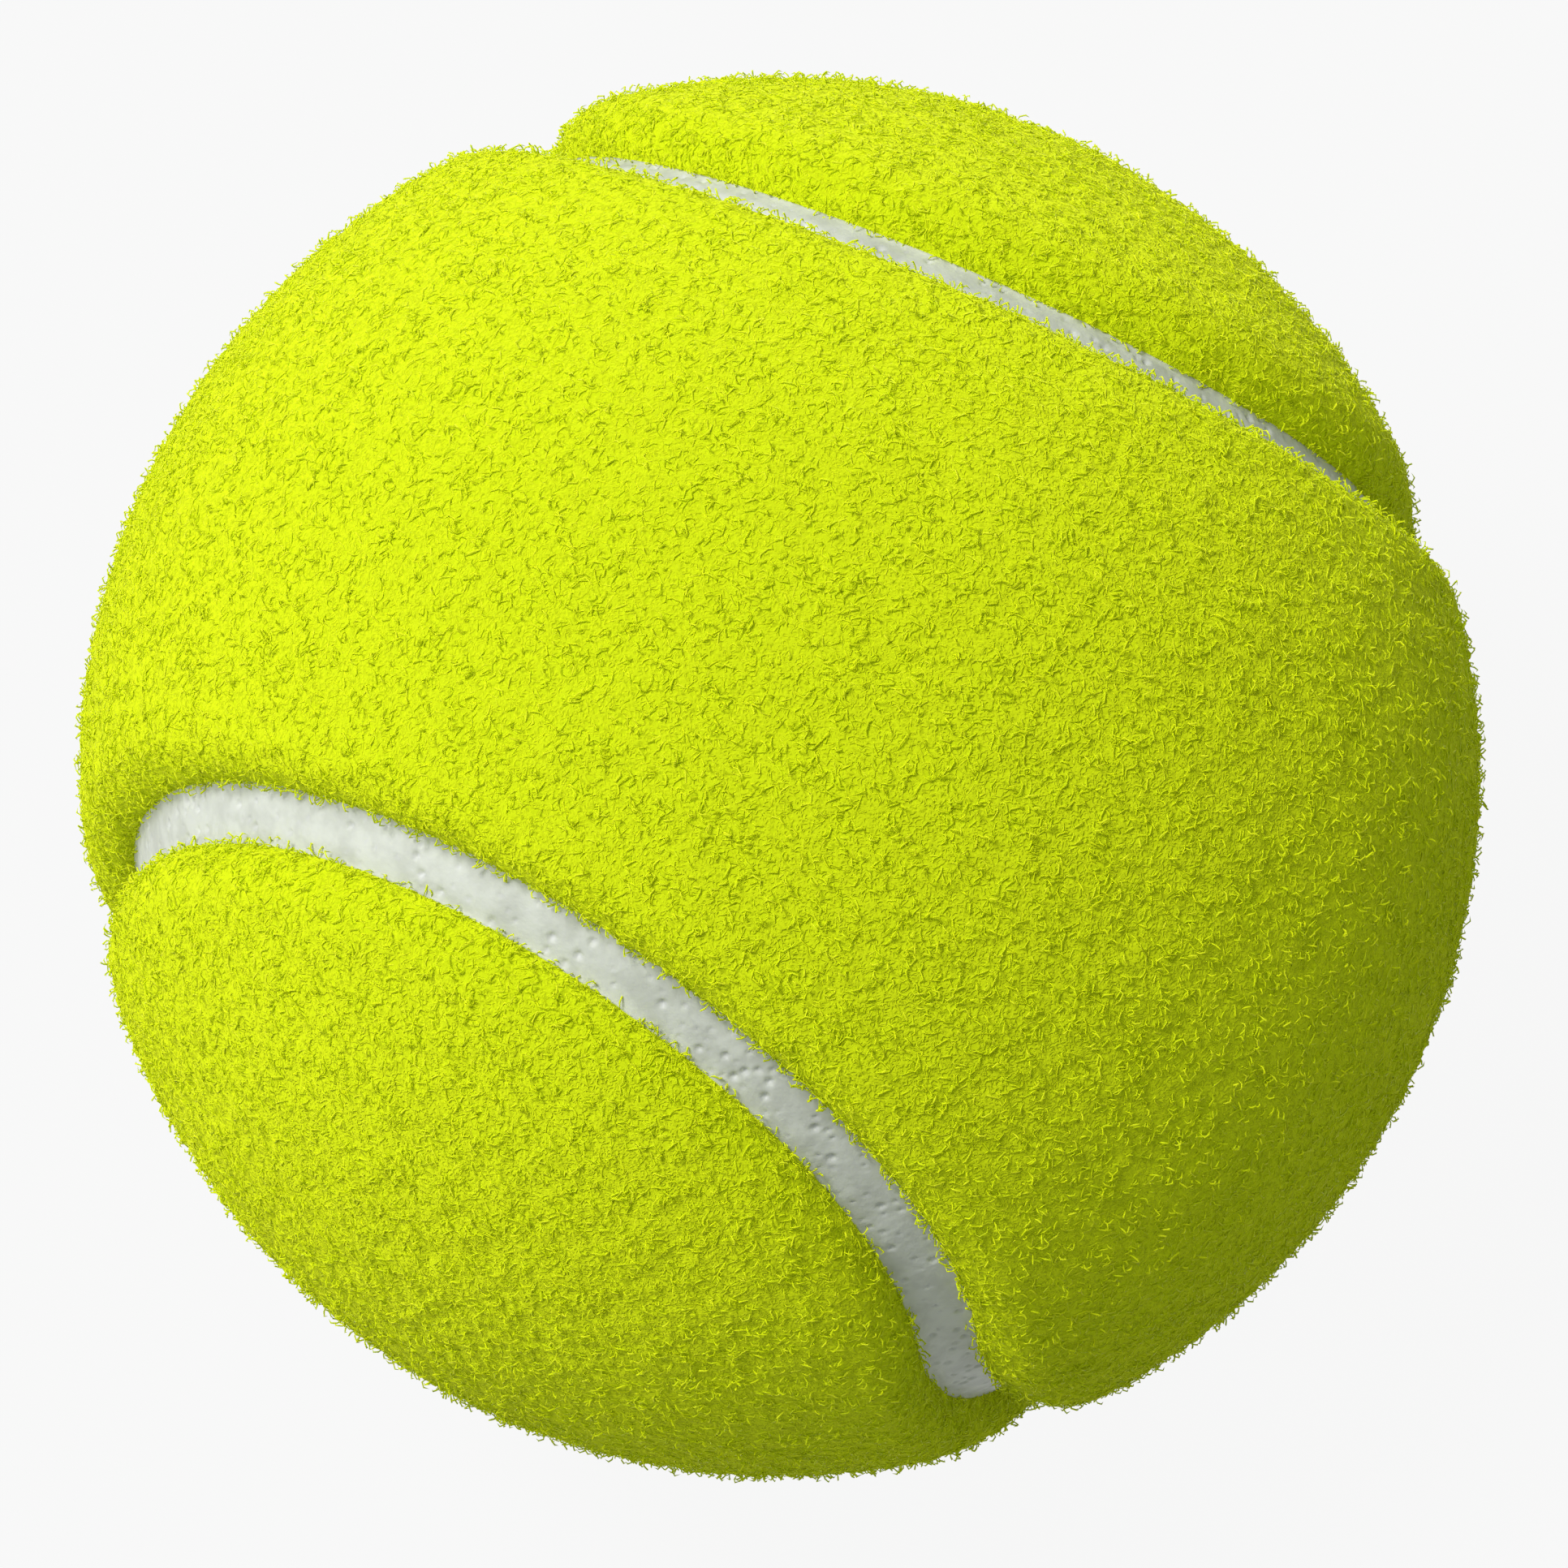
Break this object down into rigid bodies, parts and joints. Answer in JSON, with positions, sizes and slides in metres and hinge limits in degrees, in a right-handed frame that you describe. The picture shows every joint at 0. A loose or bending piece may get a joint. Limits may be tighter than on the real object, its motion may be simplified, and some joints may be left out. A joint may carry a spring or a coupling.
{
  "type": "tennis ball",
  "caption": "Felt-covered hollow rubber ball: interlocking dumbbell panels of yellow felt, rounded at their edges, meet along a closed curved seam of pale rubber.",
  "frame": {"origin": "centre of the ball", "axes": "+Z through the middle of the waist of panel A, and the lobes of panel A lie on +X and -X; the lobes of panel B lie on +Y and -Y and its waist is at -Z. The two half shells of the core meet on the plane z = 0"},
  "size_m": [0.0668, 0.0668, 0.0668],
  "materials": {
    "core_rubber": "moulded, dull",
    "joint_cement": "cured cement, satin",
    "coat_cement": "cured cement, satin",
    "felt_backing": "dull latex",
    "base_cloth": "woven cloth",
    "felt_nap": "raised curly nap, matt",
    "seam_rubber": "smooth with small pits, satin"
  },
  "bodies": {
    "root": {"upper_half_shell": "core_rubber", "lower_half_shell": "core_rubber", "shell_joint_cement": "joint_cement", "core_cement_coat": "coat_cement", "panel_a_backing": "felt_backing", "panel_b_backing": "felt_backing", "panel_a_base_cloth": "base_cloth", "panel_b_base_cloth": "base_cloth", "panel_a_nap": "felt_nap", "panel_b_nap": "felt_nap", "seam_rubber": "seam_rubber"}
  },
  "joints": []
}
